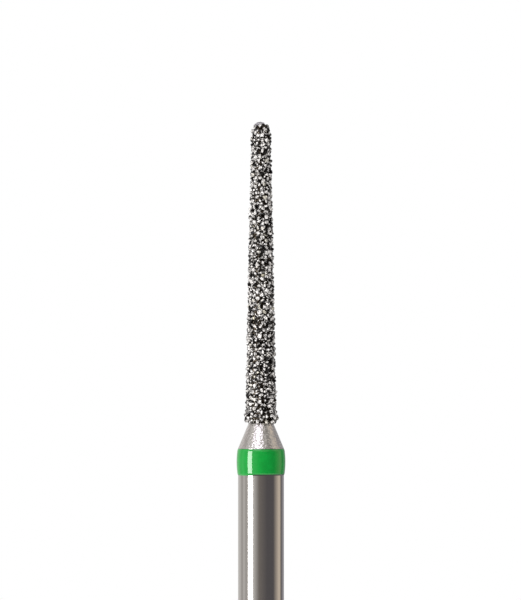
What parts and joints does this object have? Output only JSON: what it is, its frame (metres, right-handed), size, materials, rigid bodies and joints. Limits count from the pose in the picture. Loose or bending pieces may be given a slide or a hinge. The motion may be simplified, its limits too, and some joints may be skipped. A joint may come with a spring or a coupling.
{
  "type": "diamond dental bur",
  "caption": "Slender rotary cutting bur: a plain round friction-grip shank, a green colour band, a short conical neck and a long tapered round-ended head coated with coarse diamond grit.",
  "frame": {"origin": "centre of the shank's flat end", "axes": "+Z along the axis, from the shank's flat end to the round tip of the head; X and Y are interchangeable, because the bur is turned"},
  "size_m": [0.0018, 0.0018, 0.0226],
  "materials": {
    "steel": "polished",
    "lacquer": "gloss",
    "nickel": "satin",
    "diamond": "gloss"
  },
  "bodies": {
    "root": {"steel_blank": "steel", "colour_band": "lacquer", "nickel_plating": "nickel", "diamond_grains": "diamond"}
  },
  "joints": []
}
